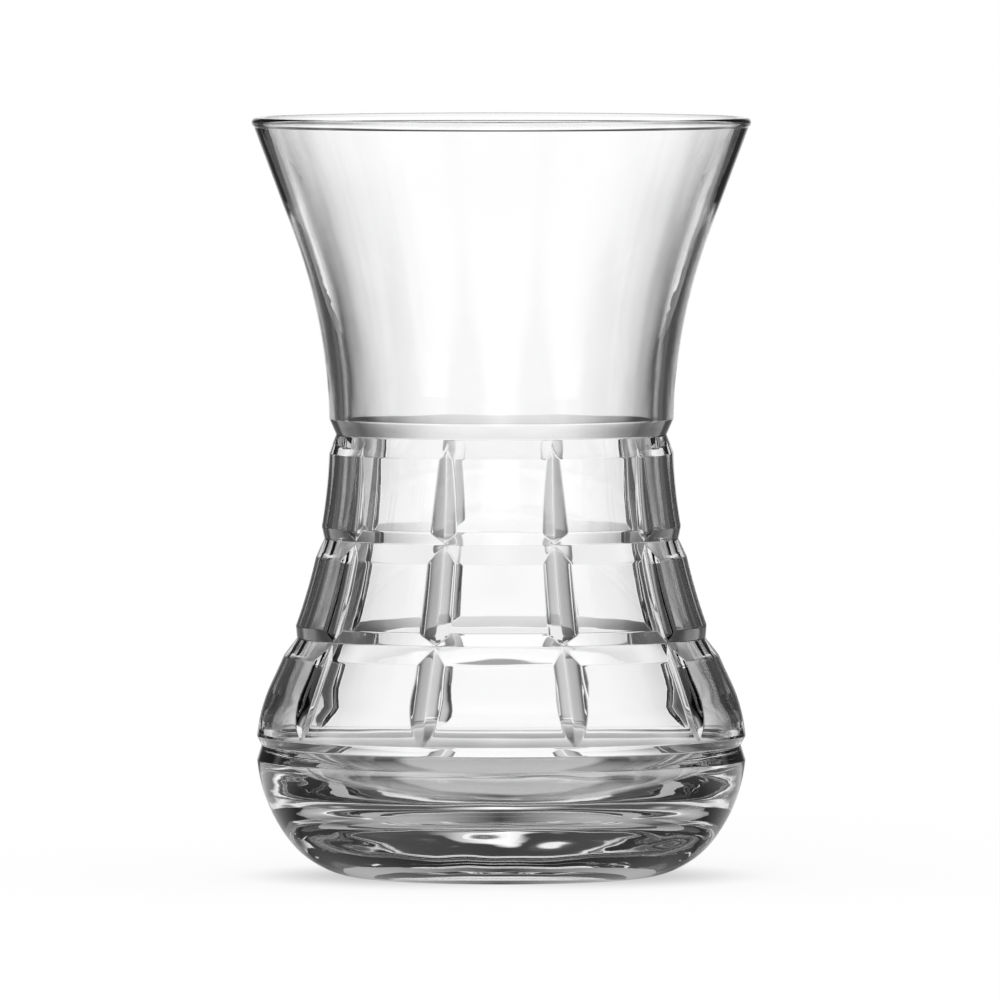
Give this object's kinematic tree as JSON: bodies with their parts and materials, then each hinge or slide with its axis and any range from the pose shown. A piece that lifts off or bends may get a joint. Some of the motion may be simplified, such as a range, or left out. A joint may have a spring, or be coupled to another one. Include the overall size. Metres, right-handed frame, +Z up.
{
  "type": "turkish tea glass",
  "caption": "Empty clear tea glass with an hourglass body: plain flared mouth, narrow waist, bands of bevelled blocks and a thick rounded base.",
  "frame": {"origin": "centre of the foot, on the surface that the glass stands on", "axes": "+Z up along the axis of the glass, towards the mouth; a block of each band faces -Y"},
  "size_m": [0.055, 0.055, 0.0836],
  "materials": {
    "glass": "clear, fire-polished"
  },
  "bodies": {
    "root": {"glass": "glass"}
  },
  "joints": []
}
